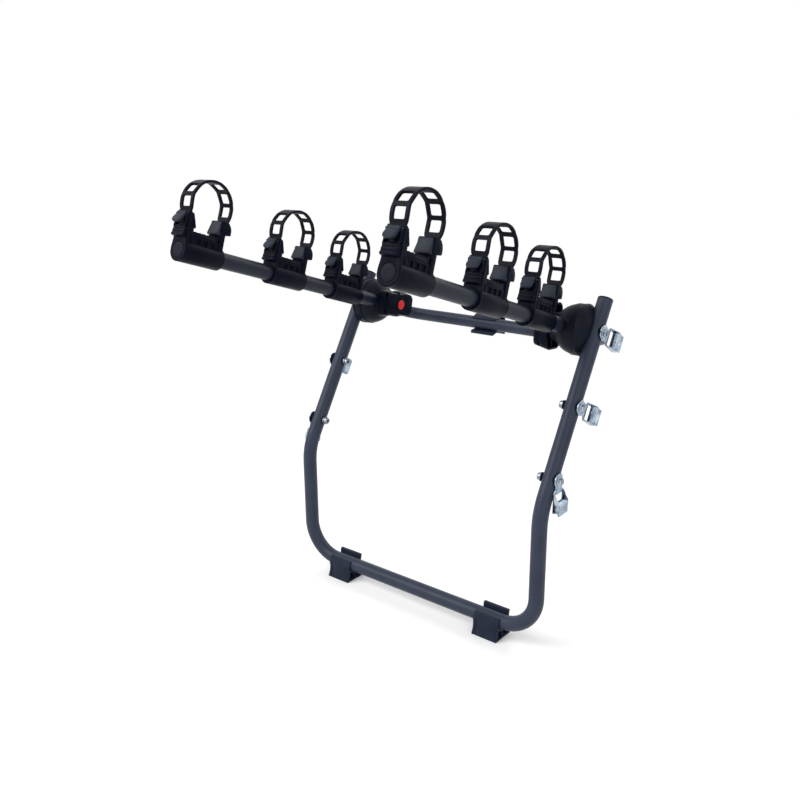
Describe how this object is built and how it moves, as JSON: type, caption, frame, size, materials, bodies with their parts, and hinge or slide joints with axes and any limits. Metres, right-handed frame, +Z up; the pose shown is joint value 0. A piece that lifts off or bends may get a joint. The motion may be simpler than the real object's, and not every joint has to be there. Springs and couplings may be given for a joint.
{
  "type": "rear bike rack",
  "caption": "Folding car-rear bicycle carrier of bent tube: lower and upper frames, hinged arms with strapped cradles, clamping knobs and cam buckles.",
  "frame": {"origin": "midway between the two lower feet, on the plane of their bases", "axes": "+X to the right when seen from behind the car, +Y towards the car, +Z up"},
  "size_m": [0.6522, 0.7089, 0.88],
  "materials": {
    "frame_paint": "satin charcoal paint",
    "black_plastic": "fine grained black moulding",
    "foot_rubber": "matt dark rubber",
    "strap_rubber": "smooth black rubber",
    "zinc": "bright zinc plating",
    "dark_steel": "dark plated steel",
    "red_cap": "plain red moulding"
  },
  "bodies": {
    "lower_frame": {"lower_frame_tube": "frame_paint", "leg_end_plugs": "black_plastic", "left_foot": "foot_rubber", "right_foot": "foot_rubber", "left_hub_disc": "black_plastic", "right_hub_disc": "black_plastic", "hub_bolts": "dark_steel", "leg_bolts": "dark_steel", "bolt_washers": "dark_steel", "leg_saddles": "black_plastic", "buckle_nuts": "zinc"},
    "upper_frame": {"upper_frame_tube": "frame_paint", "left_hub_ring": "black_plastic", "right_hub_ring": "black_plastic", "upper_pad": "foot_rubber"},
    "right_arm": {"right_arm_tube": "frame_paint", "right_arm_plug": "black_plastic", "right_arm_hub": "black_plastic", "right_outer_cradle": "black_plastic", "right_middle_cradle": "black_plastic", "right_inner_cradle": "black_plastic", "right_saddle_pads": "foot_rubber", "right_cradle_pins": "dark_steel"},
    "right_knob": {"right_knob": "black_plastic", "right_knob_cap": "red_cap"},
    "right_outer_strap": {"right_outer_strap": "strap_rubber"},
    "right_outer_latch": {"right_outer_latch": "black_plastic"},
    "right_middle_strap": {"right_middle_strap": "strap_rubber"},
    "right_middle_latch": {"right_middle_latch": "black_plastic"},
    "right_inner_strap": {"right_inner_strap": "strap_rubber"},
    "right_inner_latch": {"right_inner_latch": "black_plastic"},
    "right_top_buckle": {"right_top_buckle": "zinc"},
    "right_top_buckle_lever": {"right_top_buckle_lever": "zinc"},
    "right_middle_buckle": {"right_middle_buckle": "zinc"},
    "right_middle_buckle_lever": {"right_middle_buckle_lever": "zinc"},
    "right_lower_buckle": {"right_lower_buckle": "zinc"},
    "right_lower_buckle_lever": {"right_lower_buckle_lever": "zinc"},
    "left_arm": {"left_arm_tube": "frame_paint", "left_arm_plug": "black_plastic", "left_arm_hub": "black_plastic", "left_outer_cradle": "black_plastic", "left_middle_cradle": "black_plastic", "left_inner_cradle": "black_plastic", "left_saddle_pads": "foot_rubber", "left_cradle_pins": "dark_steel"},
    "left_knob": {"left_knob": "black_plastic", "left_knob_cap": "red_cap"},
    "left_outer_strap": {"left_outer_strap": "strap_rubber"},
    "left_outer_latch": {"left_outer_latch": "black_plastic"},
    "left_middle_strap": {"left_middle_strap": "strap_rubber"},
    "left_middle_latch": {"left_middle_latch": "black_plastic"},
    "left_inner_strap": {"left_inner_strap": "strap_rubber"},
    "left_inner_latch": {"left_inner_latch": "black_plastic"},
    "left_top_buckle": {"left_top_buckle": "zinc"},
    "left_top_buckle_lever": {"left_top_buckle_lever": "zinc"},
    "left_middle_buckle": {"left_middle_buckle": "zinc"},
    "left_middle_buckle_lever": {"left_middle_buckle_lever": "zinc"},
    "left_lower_buckle": {"left_lower_buckle": "zinc"},
    "left_lower_buckle_lever": {"left_lower_buckle_lever": "zinc"}
  },
  "joints": [
    {"name": "upper_frame_fold", "type": "hinge", "parent": "lower_frame", "child": "upper_frame", "pos_m": [0, 0.18355, 0.59453], "axis": [1, 0, 0], "range_deg": [-70, 60]},
    {"name": "right_arm_fold", "type": "hinge", "parent": "lower_frame", "child": "right_arm", "pos_m": [0.2365, 0.18355, 0.59453], "axis": [1, 0, 0], "range_deg": [-30, 77]},
    {"name": "right_knob_turn", "type": "hinge", "parent": "lower_frame", "child": "right_knob", "pos_m": [0.19, 0.18355, 0.59453], "axis": [1, 0, 0], "continuous": true},
    {"name": "right_outer_strap_lift", "type": "hinge", "parent": "right_arm", "child": "right_outer_strap", "pos_m": [0.2365, -0.25847, 0.78824], "axis": [1, 0, 0], "range_deg": [-90, 0]},
    {"name": "right_outer_latch_press", "type": "hinge", "parent": "right_arm", "child": "right_outer_latch", "pos_m": [0.2365, -0.34215, 0.82613], "axis": [1, 0, 0], "range_deg": [-40, 0], "stiffness_Nm_per_rad": 0.1},
    {"name": "right_middle_strap_lift", "type": "hinge", "parent": "right_arm", "child": "right_middle_strap", "pos_m": [0.2365, -0.05197, 0.72321], "axis": [1, 0, 0], "range_deg": [-90, 0]},
    {"name": "right_middle_latch_press", "type": "hinge", "parent": "right_arm", "child": "right_middle_latch", "pos_m": [0.2365, -0.13565, 0.7611], "axis": [1, 0, 0], "range_deg": [-40, 0], "stiffness_Nm_per_rad": 0.1},
    {"name": "right_inner_strap_lift", "type": "hinge", "parent": "right_arm", "child": "right_inner_strap", "pos_m": [0.2365, 0.11734, 0.6699], "axis": [1, 0, 0], "range_deg": [-90, 0]},
    {"name": "right_inner_latch_press", "type": "hinge", "parent": "right_arm", "child": "right_inner_latch", "pos_m": [0.2365, 0.03365, 0.70778], "axis": [1, 0, 0], "range_deg": [-40, 0], "stiffness_Nm_per_rad": 0.1},
    {"name": "right_top_buckle_swivel", "type": "hinge", "parent": "lower_frame", "child": "right_top_buckle", "pos_m": [0.3122, 0.18355, 0.59453], "axis": [1, 0, 0], "range_deg": [-45, 45]},
    {"name": "right_top_lever_press", "type": "hinge", "parent": "right_top_buckle", "child": "right_top_buckle_lever", "pos_m": [0.3197, 0.22137, 0.57203], "axis": [0, 0.5113, 0.8594], "range_deg": [0, 18], "stiffness_Nm_per_rad": 0.5},
    {"name": "right_middle_buckle_swivel", "type": "hinge", "parent": "lower_frame", "child": "right_middle_buckle", "pos_m": [0.3122, 0.10686, 0.46562], "axis": [1, 0, 0], "range_deg": [-45, 45]},
    {"name": "right_middle_lever_press", "type": "hinge", "parent": "right_middle_buckle", "child": "right_middle_buckle_lever", "pos_m": [0.3197, 0.14467, 0.44312], "axis": [0, 0.5113, 0.8594], "range_deg": [0, 18], "stiffness_Nm_per_rad": 0.5},
    {"name": "right_lower_buckle_swivel", "type": "hinge", "parent": "lower_frame", "child": "right_lower_buckle", "pos_m": [0.3122, 0.03426, 0.34358], "axis": [1, 0, 0], "range_deg": [-45, 45]},
    {"name": "right_lower_lever_press", "type": "hinge", "parent": "right_lower_buckle", "child": "right_lower_buckle_lever", "pos_m": [0.3197, 0.03426, 0.29958], "axis": [0, 1, 0], "range_deg": [0, 18], "stiffness_Nm_per_rad": 0.5},
    {"name": "left_arm_fold", "type": "hinge", "parent": "lower_frame", "child": "left_arm", "pos_m": [-0.2365, 0.18355, 0.59453], "axis": [1, 0, 0], "range_deg": [-30, 77]},
    {"name": "left_knob_turn", "type": "hinge", "parent": "lower_frame", "child": "left_knob", "pos_m": [-0.19, 0.18355, 0.59453], "axis": [1, 0, 0], "continuous": true},
    {"name": "left_outer_strap_lift", "type": "hinge", "parent": "left_arm", "child": "left_outer_strap", "pos_m": [-0.2365, -0.25847, 0.78824], "axis": [1, 0, 0], "range_deg": [-90, 0]},
    {"name": "left_outer_latch_press", "type": "hinge", "parent": "left_arm", "child": "left_outer_latch", "pos_m": [-0.2365, -0.34215, 0.82613], "axis": [1, 0, 0], "range_deg": [-40, 0], "stiffness_Nm_per_rad": 0.1},
    {"name": "left_middle_strap_lift", "type": "hinge", "parent": "left_arm", "child": "left_middle_strap", "pos_m": [-0.2365, -0.05197, 0.72321], "axis": [1, 0, 0], "range_deg": [-90, 0]},
    {"name": "left_middle_latch_press", "type": "hinge", "parent": "left_arm", "child": "left_middle_latch", "pos_m": [-0.2365, -0.13565, 0.7611], "axis": [1, 0, 0], "range_deg": [-40, 0], "stiffness_Nm_per_rad": 0.1},
    {"name": "left_inner_strap_lift", "type": "hinge", "parent": "left_arm", "child": "left_inner_strap", "pos_m": [-0.2365, 0.11734, 0.6699], "axis": [1, 0, 0], "range_deg": [-90, 0]},
    {"name": "left_inner_latch_press", "type": "hinge", "parent": "left_arm", "child": "left_inner_latch", "pos_m": [-0.2365, 0.03365, 0.70778], "axis": [1, 0, 0], "range_deg": [-40, 0], "stiffness_Nm_per_rad": 0.1},
    {"name": "left_top_buckle_swivel", "type": "hinge", "parent": "lower_frame", "child": "left_top_buckle", "pos_m": [-0.3122, 0.18355, 0.59453], "axis": [1, 0, 0], "range_deg": [-45, 45]},
    {"name": "left_top_lever_press", "type": "hinge", "parent": "left_top_buckle", "child": "left_top_buckle_lever", "pos_m": [-0.3197, 0.22137, 0.57203], "axis": [0, -0.5113, -0.8594], "range_deg": [0, 18], "stiffness_Nm_per_rad": 0.5},
    {"name": "left_middle_buckle_swivel", "type": "hinge", "parent": "lower_frame", "child": "left_middle_buckle", "pos_m": [-0.3122, 0.10686, 0.46562], "axis": [1, 0, 0], "range_deg": [-45, 45]},
    {"name": "left_middle_lever_press", "type": "hinge", "parent": "left_middle_buckle", "child": "left_middle_buckle_lever", "pos_m": [-0.3197, 0.14467, 0.44312], "axis": [0, -0.5113, -0.8594], "range_deg": [0, 18], "stiffness_Nm_per_rad": 0.5},
    {"name": "left_lower_buckle_swivel", "type": "hinge", "parent": "lower_frame", "child": "left_lower_buckle", "pos_m": [-0.3122, 0.03426, 0.34358], "axis": [1, 0, 0], "range_deg": [-45, 45]},
    {"name": "left_lower_lever_press", "type": "hinge", "parent": "left_lower_buckle", "child": "left_lower_buckle_lever", "pos_m": [-0.3197, 0.03426, 0.29958], "axis": [0, -1, 0], "range_deg": [0, 18], "stiffness_Nm_per_rad": 0.5}
  ]
}
